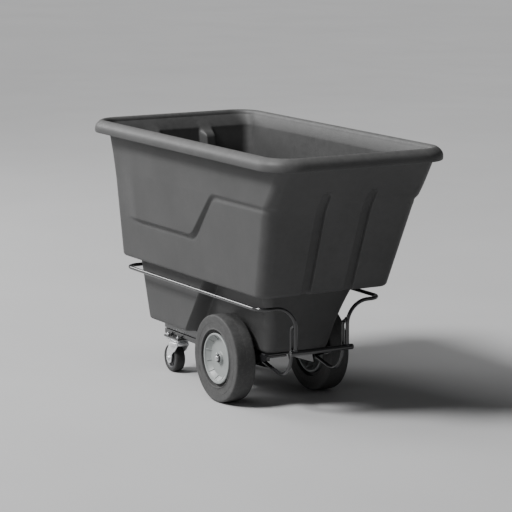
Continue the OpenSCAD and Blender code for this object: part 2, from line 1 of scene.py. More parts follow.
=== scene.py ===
import math
import bmesh
import bpy
import numpy as np
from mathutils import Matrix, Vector


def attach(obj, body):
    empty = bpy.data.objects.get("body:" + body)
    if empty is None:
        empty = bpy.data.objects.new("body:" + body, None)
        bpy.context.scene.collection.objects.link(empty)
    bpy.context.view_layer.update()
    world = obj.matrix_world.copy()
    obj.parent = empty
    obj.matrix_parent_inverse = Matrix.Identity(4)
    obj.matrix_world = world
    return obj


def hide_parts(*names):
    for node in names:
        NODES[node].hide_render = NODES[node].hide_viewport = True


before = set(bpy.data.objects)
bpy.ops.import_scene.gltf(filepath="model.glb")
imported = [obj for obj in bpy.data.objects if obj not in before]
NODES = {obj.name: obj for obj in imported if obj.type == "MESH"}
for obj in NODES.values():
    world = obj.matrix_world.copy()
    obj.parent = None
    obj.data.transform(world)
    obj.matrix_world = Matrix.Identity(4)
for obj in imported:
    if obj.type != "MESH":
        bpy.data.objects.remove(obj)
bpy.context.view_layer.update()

MM = 0.001

# ---------------------------------------------------------------- dimensions (mm)
HALF_L, HALF_W, RIM_H, WALL = 682.0, 346.0, 914.4, 7.0
FLOOR_Z, LEDGE_Z, KINK_Z = 188.0, 420.0, 728.0
WALL_TOP, SKIRT_Z = 866.4, 870.4
AXLE_Y, AXLE_Z, WHEEL_X = -71.0, 152.4, 186.0
CAST_X, CAST_Y, TRAIL, CAST_R = 115.0, 399.0, 31.0, 50.8


# ---------------------------------------------------------------- materials
class Net:
    """A material's node tree, with short calls for the nodes used here."""

    def __init__(self, name):
        self.mat = bpy.data.materials.new(name)
        self.mat.use_nodes = True
        self.t = self.mat.node_tree
        self.t.nodes.clear()
        self.out = self.t.nodes.new("ShaderNodeOutputMaterial")
        self.bsdf = self.t.nodes.new("ShaderNodeBsdfPrincipled")
        self.t.links.new(self.bsdf.outputs[0], self.out.inputs[0])
        self.coord = self.t.nodes.new("ShaderNodeTexCoord").outputs["Object"]

    def put(self, socket, value):
        if isinstance(value, bpy.types.NodeSocket):
            self.t.links.new(value, socket)
        else:
            socket.default_value = value

    def stretch(self, sx, sy, sz):
        n = self.t.nodes.new("ShaderNodeMapping")
        self.put(n.inputs["Vector"], self.coord)
        n.inputs["Scale"].default_value = (sx, sy, sz)
        return n.outputs[0]

    def noise(self, scale, detail=4.0, rough=0.55, vec=None, distortion=0.0):
        n = self.t.nodes.new("ShaderNodeTexNoise")
        self.put(n.inputs["Vector"], vec or self.coord)
        n.inputs["Scale"].default_value = scale
        n.inputs["Detail"].default_value = detail
        n.inputs["Roughness"].default_value = rough
        n.inputs["Distortion"].default_value = distortion
        return n.outputs["Fac"]

    def cells(self, scale, feature="F1", vec=None):
        n = self.t.nodes.new("ShaderNodeTexVoronoi")
        n.feature = feature
        self.put(n.inputs["Vector"], vec or self.coord)
        n.inputs["Scale"].default_value = scale
        return n

    def math(self, op, a, b=0.0, clamp=False):
        n = self.t.nodes.new("ShaderNodeMath")
        n.operation = op
        n.use_clamp = clamp
        self.put(n.inputs[0], a)
        self.put(n.inputs[1], b)
        return n.outputs[0]

    def ramp(self, fac, lo, hi, a=0.0, b=1.0):
        """fac mapped from lo..hi to a..b, held at the ends"""
        n = self.t.nodes.new("ShaderNodeMapRange")
        self.put(n.inputs["Value"], fac)
        n.inputs["From Min"].default_value = lo
        n.inputs["From Max"].default_value = hi
        n.inputs["To Min"].default_value = a
        n.inputs["To Max"].default_value = b
        return n.outputs[0]

    def mix(self, fac, a, b):
        n = self.t.nodes.new("ShaderNodeMix")
        n.data_type = "RGBA"
        self.put(n.inputs["Factor"], fac)
        self.put(n.inputs[6], a)
        self.put(n.inputs[7], b)
        return n.outputs[2]

    def geo(self, what):
        return self.t.nodes.new("ShaderNodeNewGeometry").outputs[what]

    def part(self, vector, axis):
        n = self.t.nodes.new("ShaderNodeSeparateXYZ")
        self.put(n.inputs[0], vector)
        return n.outputs[axis]

    def bump(self, height, strength, distance, under=None):
        n = self.t.nodes.new("ShaderNodeBump")
        n.inputs["Strength"].default_value = strength
        n.inputs["Distance"].default_value = distance
        self.put(n.inputs["Height"], height)
        if under is not None:
            self.put(n.inputs["Normal"], under)
        return n.outputs[0]

    def finish(self, colour, rough, normal, metallic=0.0, specular=0.5, coat=0.0, coat_rough=0.1):
        self.put(self.bsdf.inputs["Base Color"], colour)
        self.put(self.bsdf.inputs["Roughness"], rough)
        self.put(self.bsdf.inputs["Normal"], normal)
        self.put(self.bsdf.inputs["Metallic"], metallic)
        self.bsdf.inputs["Specular IOR Level"].default_value = specular
        self.bsdf.inputs["Coat Weight"].default_value = coat
        self.bsdf.inputs["Coat Roughness"].default_value = coat_rough
        return self.mat


def rgb(r, g=None, b=None):
    return (r, r if g is None else g, r if b is None else b, 1.0)


def hopper_plastic():
    """Rotation-moulded dark grey plastic: fine stipple, slow mottling, pale scuffs."""
    n = Net("hopper_plastic")
    cloud = n.noise(5.5, 5, 0.6)
    mottle = n.noise(46, 6, 0.62)
    grit = n.noise(900, 3, 0.6)
    base = n.mix(n.ramp(cloud, 0.35, 0.68), rgb(0.050), rgb(0.062))
    base = n.mix(n.ramp(mottle, 0.3, 0.72, 0.0, 0.45), base, rgb(0.080))
    base = n.mix(n.ramp(grit, 0.55, 0.8, 0.0, 0.25), base, rgb(0.10))
    # thin upright rub marks, and scattered nicks
    rub = n.noise(1.0, 5, 0.65, n.stretch(150, 150, 9), 0.3)
    where = n.ramp(n.noise(7.0, 2, 0.5), 0.52, 0.7)
    marks = n.math("MULTIPLY", n.ramp(rub, 0.66, 0.78), where)
    along = n.noise(1.0, 5, 0.6, n.stretch(20, 10, 260), 0.2)
    marks = n.math("MAXIMUM", marks, n.math("MULTIPLY", n.ramp(along, 0.69, 0.8), n.ramp(n.noise(4.0, 2, 0.5), 0.5, 0.66)))
    base = n.mix(n.math("MULTIPLY", marks, 0.28), base, rgb(0.17))
    # the rim band is painted paler, and a little rougher: partly handling wear, partly a painted highlight standing in
    # for the light that falls on the rim
    height = n.part(n.coord, 2)
    rim = n.math("MULTIPLY", n.ramp(height, 0.868, 0.912), n.ramp(n.noise(60, 5, 0.7), 0.35, 0.75, 0.35, 1.0))
    base = n.mix(n.math("MULTIPLY", rim, 0.26), base, rgb(0.16))
    # dust that settles on faces turned upwards
    up = n.ramp(n.part(n.geo("Normal"), 2), 0.45, 1.0)
    base = n.mix(n.math("MULTIPLY", up, n.ramp(mottle, 0.35, 0.8, 0.06, 0.32)), base, rgb(0.15, 0.148, 0.143))
    rough = n.ramp(mottle, 0.25, 0.8, 0.43, 0.6)
    rough = n.math("ADD", rough, n.math("MULTIPLY", marks, 0.12))
    stipple = n.bump(grit, 0.32, 0.0005)
    peel = n.bump(n.noise(150, 3, 0.5), 0.16, 0.0012, stipple)
    wave = n.bump(n.noise(11, 2, 0.4), 0.22, 0.004, peel)
    return n.finish(base, rough, wave, specular=0.27)


def black_paint():
    """Baked black paint on steel: fine orange peel, dull dust, chips at worn edges."""
    n = Net("black_paint")
    soft = n.noise(24, 4, 0.6)
    fine = n.noise(420, 3, 0.5)
    base = n.mix(n.ramp(soft, 0.3, 0.75), rgb(0.010, 0.010, 0.011), rgb(0.019, 0.019, 0.020))
    chips = n.math("MULTIPLY", n.ramp(n.noise(210, 5, 0.7), 0.69, 0.72), n.ramp(n.noise(17, 2, 0.5), 0.52, 0.64))
    edge = n.math("MULTIPLY", n.ramp(n.geo("Pointiness"), 0.56, 0.68), n.ramp(n.noise(130, 5, 0.7), 0.52, 0.62))
    bare = n.math("MAXIMUM", chips, n.math("MULTIPLY", edge, 0.7))
    base = n.mix(n.math("MULTIPLY", bare, 0.55), base, rgb(0.17, 0.165, 0.16))
    up = n.ramp(n.part(n.geo("Normal"), 2), 0.5, 1.0)
    base = n.mix(n.math("MULTIPLY", up, n.ramp(n.noise(70, 5, 0.7), 0.45, 0.8, 0.0, 0.07)), base, rgb(0.13, 0.13, 0.127))
    rough = n.math("ADD", n.ramp(soft, 0.25, 0.8, 0.14, 0.25), n.math("MULTIPLY", bare, 0.25))
    peel = n.bump(n.noise(310, 2, 0.4), 0.16, 0.0006)
    pits = n.bump(bare, 0.35, -0.0002, n.bump(fine, 0.06, 0.0003, peel))
    return n.finish(base, rough, pits, specular=0.6, coat=0.35, coat_rough=0.14)


def plated(name, base_a, base_b, lo, hi, scale, metallic=1.0, rust=0.0):
    """Zinc plate: small crystals of slightly different brightness, draw lines, smears."""
    n = Net(name)
    spangle = n.cells(scale)
    tone = n.part(spangle.outputs["Color"], 0)
    smear = n.noise(38, 5, 0.65)
    base = n.mix(n.ramp(tone, 0.1, 0.9, 0.1, 0.9), rgb(*base_a), rgb(*base_b))
    base = n.mix(n.ramp(smear, 0.5, 0.85, 0.0, 0.5), base, rgb(0.36, 0.36, 0.355))
    grime = n.math("MULTIPLY", n.ramp(n.noise(95, 6, 0.7), 0.58, 0.72), n.ramp(n.noise(21, 2, 0.5), 0.5, 0.66))
    base = n.mix(n.math("MULTIPLY", grime, 0.25 + rust), base, rgb(0.12, 0.095, 0.075))
    rough = n.math("ADD", n.ramp(tone, 0, 1, lo, hi), n.math("MULTIPLY", grime, 0.22))
    lines = n.noise(1.0, 3, 0.6, n.stretch(260, 900, 260))
    normal = n.bump(n.noise(700, 3, 0.6), 0.1, 0.0002, n.bump(lines, 0.1, 0.0002))
    return n.finish(base, rough, normal, metallic=metallic)


def rubber(name, dark, light, dust, lo=0.62, hi=0.82):
    """Moulded rubber: soft sheen, fine grain, pale dust worked into the surface."""
    n = Net(name)
    soft = n.noise(30, 5, 0.6)
    grain = n.noise(800, 4, 0.6)
    base = n.mix(n.ramp(soft, 0.3, 0.75), rgb(dark), rgb(light))
    base = n.mix(n.ramp(n.noise(120, 6, 0.72), 0.5, 0.82, 0.0, 0.45), base, rgb(dust, dust * 0.98, dust * 0.94))
    scuff = n.math("MULTIPLY", n.ramp(n.noise(260, 5, 0.7), 0.64, 0.72), n.ramp(soft, 0.5, 0.62))
    base = n.mix(n.math("MULTIPLY", scuff, 0.4), base, rgb(dust * 1.3))
    rough = n.ramp(soft, 0.25, 0.8, lo, hi)
    normal = n.bump(n.noise(170, 4, 0.6), 0.15, 0.0006, n.bump(grain, 0.3, 0.00035))
    return n.finish(base, rough, normal, specular=0.34)


def wheel_plastic(name, a, b, grime_colour, lo, hi, spec=0.5):
    """Glass-filled moulded plastic: faint flow lines, grime in the corners of the fins."""
    n = Net(name)
    flow = n.noise(16, 5, 0.6, None, 0.8)
    base = n.mix(n.ramp(flow, 0.3, 0.72), rgb(*a), rgb(*b))
    base = n.mix(n.ramp(n.noise(170, 5, 0.7), 0.52, 0.8, 0.0, 0.3), base, rgb(*[c * 0.72 for c in a]))
    inner = n.ramp(n.geo("Pointiness"), 0.5, 0.4)
    grime = n.math("MULTIPLY", inner, n.ramp(n.noise(110, 6, 0.7), 0.35, 0.65, 0.25, 1.0))
    base = n.mix(n.math("MULTIPLY", grime, 0.55), base, rgb(*grime_colour))
    rough = n.math("ADD", n.ramp(flow, 0.25, 0.8, lo, hi), n.math("MULTIPLY", grime, 0.15))
    normal = n.bump(n.noise(520, 3, 0.55), 0.14, 0.0003, n.bump(n.noise(60, 3, 0.5), 0.08, 0.001))
    return n.finish(base, rough, normal, specular=spec)


HOPPER = hopper_plastic()
PAINT = black_paint()
ZINC = plated("zinc", (0.60, 0.61, 0.62), (0.76, 0.77, 0.78), 0.26, 0.42, 210)
FORK = plated("fork_zinc", (0.66, 0.67, 0.68), (0.80, 0.81, 0.82), 0.33, 0.46, 160, metallic=0.72)
AXLE = plated("axle_steel", (0.52, 0.52, 0.53), (0.66, 0.66, 0.67), 0.24, 0.38, 320, rust=0.15)
DARK = plated("dark_washer", (0.07, 0.07, 0.072), (0.11, 0.11, 0.112), 0.34, 0.5, 300)
BALLS = plated("ball_steel", (0.66, 0.66, 0.67), (0.8, 0.8, 0.81), 0.12, 0.22, 600)
BEAD = plated("weld_bead", (0.035, 0.035, 0.038), (0.05, 0.05, 0.054), 0.3, 0.48, 340, metallic=0.2)
TYRE = rubber("tyre_rubber", 0.050, 0.070, 0.14)
TREAD = rubber("caster_rubber", 0.020, 0.030, 0.09, 0.5, 0.7)
WHEEL = wheel_plastic("wheel_plastic", (0.235, 0.25, 0.246), (0.285, 0.30, 0.296), (0.17, 0.17, 0.16), 0.36, 0.52)
CORE = wheel_plastic("caster_plastic", (0.028, 0.028, 0.03), (0.042, 0.042, 0.045), (0.09, 0.085, 0.08), 0.34, 0.5)


# ---------------------------------------------------------------- mesh tools
def build(name, parts, mat, body, nodes=(), bevel=0.0, segments=2, sharp=38.0, keep=60.0):
    """One mesh object from (points in mm, faces) pairs, riding on a body."""
    verts, faces = [], []
    for v, f in parts:
        o = len(verts)
        verts.extend((float(p[0]) * MM, float(p[1]) * MM, float(p[2]) * MM) for p in v)
        faces.extend([tuple(int(i) + o for i in q) for q in f])
    me = bpy.data.meshes.new(name)
    me.from_pydata(verts, [], faces)
    bm = bmesh.new()
    bm.from_mesh(me)
    bmesh.ops.recalc_face_normals(bm, faces=bm.faces)
    for f in bm.faces:
        f.smooth = True
    bm.to_mesh(me)
    bm.free()
    me.materials.append(mat)
    ob = bpy.data.objects.new(name, me)
    bpy.context.scene.collection.objects.link(ob)
    if bevel:
        m = ob.modifiers.new("soft edges", "BEVEL")
        m.width = bevel * MM
        m.segments = segments
        m.limit_method = "ANGLE"
        m.angle_limit = math.radians(sharp)
        m.harden_normals = True
        me.set_sharp_from_angle(angle=math.radians(keep))
    else:
        me.set_sharp_from_angle(angle=math.radians(sharp))
    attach(ob, body)
    if nodes:
        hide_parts(*nodes)
    return ob


def from_node(name, node, mat, body, bevel, sharp=35.0, segments=2):
    """A new piece after a CAD node's outline: flat faces rejoined, edges eased."""
    bm = bmesh.new()
    bm.from_mesh(NODES[node].data)
    bmesh.ops.remove_doubles(bm, verts=bm.verts, dist=2e-5)
    bmesh.ops.dissolve_limit(bm, angle_limit=math.radians(1.0), verts=bm.verts, edges=bm.edges)
    bmesh.ops.recalc_face_normals(bm, faces=bm.faces)
    me = bpy.data.meshes.new(name)
    for f in bm.faces:
        f.smooth = True
        f.material_index = 0
    bm.to_mesh(me)
    bm.free()
    me.materials.clear()
    me.materials.append(mat)
    ob = bpy.data.objects.new(name, me)
    bpy.context.scene.collection.objects.link(ob)
    m = ob.modifiers.new("soft edges", "BEVEL")
    m.width = bevel * MM
    m.segments = segments
    m.limit_method = "ANGLE"
    m.angle_limit = math.radians(sharp)
    m.harden_normals = True
    me.set_sharp_from_angle(angle=math.radians(60))
    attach(ob, body)
    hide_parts(node)
    return ob


def fillet(pts, r, n=4, closed=True):
    """The outline with each corner rounded by up to r."""
    out, k = [], len(pts)
    for i in range(k):
        p = np.array(pts[i], float)
        if not closed and i in (0, k - 1):
            out.append(tuple(p))
            continue
        a, b = np.array(pts[i - 1], float), np.array(pts[(i + 1) % k], float)
        la, lb = np.linalg.norm(a - p), np.linalg.norm(b - p)
        d = min(r, 0.45 * la, 0.45 * lb)
        s, e = p + (a - p) / la * d, p + (b - p) / lb * d
        for t in np.linspace(0, 1, n + 1):
            out.append(tuple((1 - t) ** 2 * s + 2 * t * (1 - t) * p + t * t * e))
    return out


def lathe(profile, place, segs=96, loop=True):
    """Profile of (radius, along) turned about the axis; place maps (u, v, w) to x, y, z."""
    v, f, k = [], [], len(profile)
    for j in range(segs):
        a = 2 * math.pi * j / segs
        v.extend(place(r * math.cos(a), r * math.sin(a), t) for r, t in profile)
    for j in range(segs):
        a, b = j * k, ((j + 1) % segs) * k
        for i in range(k if loop else k - 1):
            i2 = (i + 1) % k
            f.append((a + i, a + i2, b + i2, b + i))
    if not loop:
        f.append([j * k for j in range(segs)])
        f.append([j * k + k - 1 for j in range(segs)])
    return v, f


def prism(outline, w0, w1, place):
    k = len(outline)
    v = [place(a, b, w0) for a, b in outline] + [place(a, b, w1) for a, b in outline]
    f = [tuple(range(k)), tuple(range(k, 2 * k))]
    f += [(i, (i + 1) % k, k + (i + 1) % k, k + i) for i in range(k)]
    return v, f


def arc(c, r, a0, a1, n, plane):
    """Points of an arc; plane maps (u, v) about the centre to x, y, z."""
    return [plane(c[0] + r * math.cos(math.radians(a)), c[1] + r * math.sin(math.radians(a)))
            for a in np.linspace(a0, a1, n)]


def tube(path, r, segs=28, ends=True, swell=None):
    """Round bar along a path in mm, with eased ends."""
    p = [np.array(path[0], float)]
    for q in path[1:]:
        q = np.array(q, float)
        if np.linalg.norm(q - p[-1]) > 0.05:
            p.append(q)
    p = np.array(p)
    d = np.gradient(p, axis=0)
    seg = np.diff(p, axis=0)
    d[1:-1] = seg[1:] / np.linalg.norm(seg[1:], axis=1)[:, None] + seg[:-1] / np.linalg.norm(seg[:-1], axis=1)[:, None]
    d /= np.linalg.norm(d, axis=1)[:, None]
    n = np.cross(d[0], [0.3, 0.7, 0.2])
    n /= np.linalg.norm(n)
    rows, radii = [], []
    s = np.concatenate([[0], np.cumsum(np.linalg.norm(seg, axis=1))])
    for i in range(len(p)):
        n = n - d[i] * np.dot(n, d[i])
        n /= np.linalg.norm(n)
        rows.append((p[i], n.copy(), np.cross(d[i], n)))
        radii.append(r if swell is None else swell(s[i]))
    rings = []
    e = min(r * 0.28, 1.8)
    if ends:
        for k in (0, 1, 2):
            a = math.radians(30 * k)
            rings.append((rows[0][0] + d[0] * e * (1 - math.cos(a)), rows[0], radii[0] - e + e * math.sin(a)))
        rings.append((rows[0][0] + d[0] * e, rows[0], radii[0]))
    body = list(range(1, len(rows) - 1)) if ends else list(range(len(rows)))
    rings += [(rows[i][0], rows[i], radii[i]) for i in body]
    if ends:
        rings += [(rows[-1][0] - d[-1] * e, rows[-1], radii[-1])]
        rings += [(rows[-1][0] - d[-1] * e * (1 - math.cos(math.radians(30 * k))), rows[-1], radii[-1] - e + e * math.sin(math.radians(30 * k))) for k in (2, 1, 0)]
    v, f = [], []
    for c, row, rad in rings:
        for j in range(segs):
            a = 2 * math.pi * j / segs
            v.append(c + row[1] * math.cos(a) * rad + row[2] * math.sin(a) * rad)
    m = len(rings)
    for i in range(m - 1):
        for j in range(segs):
            k = (j + 1) % segs
            f.append((i * segs + j, i * segs + k, (i + 1) * segs + k, (i + 1) * segs + j))
    f.append(tuple(range(segs)))
    f.append(tuple(range((m - 1) * segs, m * segs)))
    return v, f


def bead(path, r, seed=0):
    """A weld bead: a small tube with the ripple of a hand-run weld."""
    rnd = np.random.RandomState(seed)
    ph = rnd.rand() * 6
    return tube(path, r, 10, True, lambda s: r * (1 + 0.16 * math.sin(s * 2.6 + ph) + 0.07 * math.sin(s * 0.9 + 2 * ph)))


def circle(c, r, u, v, n=28, a0=0, a1=360):
    c, u, v = np.array(c, float), np.array(u, float), np.array(v, float)
    return [c + r * (math.cos(math.radians(a)) * u + math.sin(math.radians(a)) * v) for a in np.linspace(a0, a1, n)]


# ---------------------------------------------------------------- hopper
def c01(t):
    return np.clip(t, 0.0, 1.0)


def ease(t):
    c = c01(t)
    return c * c * (3 - 2 * c)


def mix(a, b, t):
    return a + (b - a) * t


def nose_line(z):
    return mix(-438, -546, (z - 430) / (KINK_Z - 430)) if z < KINK_Z else mix(-546, -641, min(1, (z - KINK_Z) / (WALL_TOP - KINK_Z)) ** 0.9)


def nose_y(z):
    # the bend in the nose is a broad curve, not a crease
    r = 30 * float(ease((z - 660) / 30) * ease((WALL_TOP - z) / 60))
    return float(np.mean([nose_line(z + t * r) for t in np.linspace(-1, 1, 15)]))


def rear_y(z):
    return 588 + 17 * float(ease((z - 760) / 140))


def panel_fade(y):
    return ease((535 - y) / 150) * ease((y + 560) / 60)


def side_w(y, z):
    lw = 256 + 0.1226 * (min(z, 745) - 430)
    hw = 285 + 0.0788 * (z - 575) if z < 740 else 298
    # the edge of the raised panel, with its two corners rounded
    lift = -12 - y
    k = 24.0
    soft = np.where(lift < -k, 0, np.where(lift < k, (lift + k) ** 2 / (4 * k), lift))
    over = soft - 165
    soft = np.where(over < -k, soft, np.where(over < k, 165 - (k - over) ** 2 / (4 * k), 165))
    line = 575 + soft
    s = ease((z - line + 8) / 16)
    f = panel_fade(y)
    g = f if z <= 700 else mix(f, 1, min(1.0, (z - 700) / 45))
    w = 298.0 if z > 745 else lw + (hw - lw) * s * g
    # a shallow valley runs just below the edge
    w = w - 4.6 * np.exp(-((z - line + 9) / 9.5) ** 2) * ease((y + 545) / 50) * f
    # behind the panel the wall is one straight slope from ledge to rim
    straight = 256 + 0.0963 * (z - 430)
    back = ease((y - 385) / 150)
    return w + (straight - w) * back


def belly_w(y, z):
    h = z - FLOOR_Z
    a = mix(130 + 0.37 * h, 122 + 0.14 * h, ease((y + 300 + 0.2 * h) / 70))
    return mix(a, 180 + 0.118 * h, ease((y - (221 - 0.868 * h) + 14) / 28))


def slot_field(u, v, hw, soft):
    """1 inside a slot with a round top at v = 0, easing to 0 over its soft edge"""
    r = np.where(v < 0, np.abs(u), np.sqrt(u * u + np.maximum(v, 0) ** 2))
    return ease((hw + soft - r) / (2 * soft))


def nose_dent(x, z):
    c = 81.5 + 7.5 * float(c01((z - 430) / 350))
    return 14 * slot_field(np.abs(x) - c, (z - 764) * np.ones_like(x), 17, 2.7)


def back_dent(x, z):
    across = ease((24 + 9 - np.abs(np.abs(x) - 108)) / 18)
    return 34 * across * float(ease((WALL_TOP - 3 - z) / 26) * ease((z - 430) / 60))


def spread(marks, counts):
    out = []
    for a, b, n in zip(marks[:-1], marks[1:], counts):
        out.append(np.linspace(a, b, n, endpoint=False))
    return np.concatenate(out)


def half_ring(kind, z, yf, yb, r, d, w0, grow=0.0):
    width = (lambda y: belly_w(y - (0 if d < WALL else 5), z)) if kind == 0 else (lambda y: side_w(y, z)) if kind == 1 else (lambda y: np.full_like(y, w0))
    at = lambda y: float(width(np.array([float(y)]))[0])
    wf, wb = at(yf + r) - d + grow, at(yb - r) - d + grow
    f, b = yf + d - grow, yb - d + grow
    rr = max(6.0, r - d + grow)
    c = 81.5 + 7.5 * float(c01((z - 430) / 350))
    bow = 1.5 if kind == 0 else 0.0
    y0, y1 = f + rr, b - rr
    if kind == 1:
        nx = spread([0, c - 24, c - 10, c + 10, c + 24, wf - rr], [10, 12, 5, 12, 10])
        bx = spread([0, 108 - 37, 108 - 12, 108 + 12, 108 + 37, wb - rr], [9, 14, 5, 14, 8])
    else:
        nx = spread(np.array([0, 0.27, 0.34, 0.44, 0.5, 1]) * (wf - rr), [10, 12, 5, 12, 10])
        bx = spread(np.array([0, 0.28, 0.38, 0.5, 0.6, 1]) * (wb - rr), [9, 14, 5, 14, 8])
    m = (221 - 0.868 * (z - FLOOR_Z) + (5 if d >= WALL else 0)) if kind == 0 else -12 - max(0, min(165, z - 575))
    m = min(max(m, y0 + 60), y1 - 60)
    ny = f - bow + bow * (nx / (wf - rr)) ** 2 + (nose_dent(nx, z) if kind == 1 else 0)
    ca = np.radians(np.linspace(0, 90, 15))
    sy = np.concatenate([spread([y0, m - 30, m + 30, y1], [44, 30, 64])[1:]])
    side = np.stack([width(sy) - d + grow, sy], 1)
    by = b + bow - bow * (bx / (wb - rr)) ** 2 - (back_dent(bx, z) if kind == 1 else 0)
    pts = np.concatenate([
        np.stack([nx, ny], 1),
        np.stack([wf - rr + rr * np.sin(ca), f + rr - rr * np.cos(ca)], 1),
        side,
        np.stack([wb - rr + rr * np.cos(ca), b - rr + rr * np.sin(ca)], 1),
        np.stack([bx, by], 1)[::-1]])
    return np.concatenate([pts, np.full((len(pts), 1), z)], 1)


def body_ring(kind, z, d, r, grow=0.0):
    yf = -255 - 0.36 * (z - FLOOR_Z) if kind == 0 else nose_y(z)
    yb = 516 + 0.077 * (z - FLOOR_Z) if kind == 0 else rear_y(z)
    return half_ring(kind, z, yf, yb, r, d, 0, grow)


def body_r(z):
    return 44 - 6 * float(ease((z - 700) / 80))


def lip(z, d):
    d = max(d, 0.0)
    r = 112 - 1.05 * d
    return half_ring(2, min(z, RIM_H), -(HALF_L - d), HALF_L - d, r, 0, HALF_W - d)


def curve_through(pts, n):
    """Points of a smooth line through pts"""
    p = np.array(pts, float)
    out = []
    for i in range(len(p) - 1):
        a, b = p[max(i - 1, 0)], p[min(i + 2, len(p) - 1)]
        q, s = p[i], p[i + 1]
        for t in np.linspace(0, 1, n, endpoint=False):
            out.append(0.5 * (2 * q + (s - a) * t + (2 * a - 5 * q + 4 * s - b) * t * t + (3 * q - a - 3 * s + b) * t ** 3))
    out.append(p[-1])
    return out


def hopper():
    rings = [body_ring(0, FLOOR_Z, 14, 22), body_ring(0, FLOOR_Z + 1.2, 9, 24), body_ring(0, FLOOR_Z + 4, 4, 28),
             body_ring(0, FLOOR_Z + 8, 1.2, 29), body_ring(0, FLOOR_Z + 14, 0, 30)]
    rings += [body_ring(0, z, 0, 30) for z in np.arange(210, 404, 8.0)]
    fr = 10.0
    for a in np.linspace(0, 86, 8):
        z = LEDGE_Z - fr + fr * math.sin(math.radians(a))
        rings.append(body_ring(0, z, 0, 30, fr - fr * math.cos(math.radians(a))))
    rings += [body_ring(1, LEDGE_Z, 19, 44), body_ring(1, LEDGE_Z + 0.6, 14, 44)]
    for a in np.linspace(20, 90, 8):
        a = math.radians(a)
        rings.append(body_ring(1, LEDGE_Z + 12 - 11.6 * math.cos(a), 11.5 - 11.5 * math.sin(a), 44))
    zs = np.concatenate([np.arange(438, 552, 9.0), np.arange(554, 602, 3.0), np.arange(604, 700, 6.0),
                         np.arange(702, 800, 3.0), np.arange(804, 866, 5.0), [WALL_TOP]])
    rings += [body_ring(1, z, 0, body_r(z)) for z in zs]
    under = [(898.4, 34), (904.6, 31), (906.8, 25), (904.4, 18), (895.4, 10.5), (884, 8.2), (873.4, 7)]
    roll = [(871.0, 5.6), (870.5, 3.6), (871.6, 1.7), (874.6, 0.6), (880.4, 0), (888, 0.7), (895.4, 3.0), (902.0, 7.4),
            (907.6, 13.2), (911.6, 18.6), (913.9, 23.4), (914.4, 27), (913.6, 31.4), (910.6, 36), (905.4, 39.4), (898.4, 41.6)]
    rings += [lip(z, d) for z, d in curve_through(under, 2)]
    rings += [lip(z, d) for z, d in curve_through(roll, 4)]
    inner = np.concatenate([zs[::-1][::2]])
    rings += [body_ring(1, z, WALL, body_r(z)) for z in inner if z > LEDGE_Z + 28]
    rings += [body_ring(1, LEDGE_Z + 21, WALL + 1.5, 44), body_ring(1, LEDGE_Z + 15, WALL + 5, 44),
              body_ring(1, LEDGE_Z + 10, WALL + 12, 44), body_ring(1, LEDGE_Z + 8, WALL + 18, 44)]
    rings += [body_ring(0, z, WALL, 30) for z in [LEDGE_Z + 4.5] + list(np.arange(412, 212, -9.0))]
    rings += [body_ring(0, 206, WALL, 30), body_ring(0, 200.5, WALL + 2, 27), body_ring(0, 197.4, WALL + 5, 25), body_ring(0, 196, WALL + 10, 22)]
    n = len(rings[0])
    full = []
    for h in rings:
        m = h[1:-1][::-1].copy()
        m[:, 0] *= -1
        full.append(np.concatenate([h, m]))
    size = len(full[0])
    v = np.concatenate(full)
    f = []
    for k in range(len(full) - 1):
        a, b = k * size, (k + 1) * size
        for i in range(size):
            j = (i + 1) % size
            f.append((a + i, b + i, b + j, a + j))
    for o in (0, (len(full) - 1) * size):
        for i in range(n - 1):
            q = [o + i, o + i + 1, o + (size - i - 1) % size, o + (size - i) % size]
            q = list(dict.fromkeys(q))
            if len(q) > 2:
                f.append(tuple(q))
    return build("hopper_moulding", [(v, f)], HOPPER, "chassis", ["hopper"], sharp=65)


hopper()

# ---------------------------------------------------------------- guard rail and bars
ROD, BAR = 6.5, 9.5
RAIL_F, RAIL_R, RAIL_Z, RAIL_X = -404.0, 574.0, 378.0, 239.5
ROD_X, BAR_Z = 101.0, 220.5


def rail_path(s):
    up = [(s * ROD_X, RAIL_F, z) for z in (BAR_Z + BAR - 1.5, 245, 262, 280)]
    drop = arc((ROD_X + 80, RAIL_Z - 80), 80, 180, 90, 26, lambda u, v: (s * u, RAIL_F, v))
    out = [(s * (RAIL_X - 50), RAIL_F, RAIL_Z)]
    turn = arc((RAIL_X - 50, RAIL_F + 50), 50, 270, 360, 20, lambda u, v: (s * u, v, RAIL_Z))
    run = [(s * RAIL_X, y, RAIL_Z) for y in np.linspace(RAIL_F + 80, RAIL_R - 80, 12)]
    back = arc((RAIL_X - 50, RAIL_R - 50), 50, 0, 90, 20, lambda u, v: (s * u, v, RAIL_Z))
    return up + drop + out + turn + run + back


def loop_path(s):
    x = s * ROD_X
    tip_y, tip_z = -391 + 16 * math.cos(math.radians(60)), 292 + 16 * math.sin(math.radians(60))
    p = [(x, tip_y - 0.866 * t, tip_z + 0.5 * t) for t in (19.5, 13, 6)]
    p += arc((-391, 292), 16, 60, 0, 12, lambda u, v: (x, u, v))
    p += [(x, -375, z) for z in (270, 248, 226)]
    p += arc((-300, 206), 75, 180, 282, 34, lambda u, v: (x, u, v))
    y0, z0 = -300 + 75 * math.cos(math.radians(282)), 206 + 75 * math.sin(math.radians(282))
    c, sn = math.cos(math.radians(12)), math.sin(math.radians(12))
    return p + [(x, y0 + c * t, z0 + sn * t) for t in (20, 45, 70, 95, 110)]


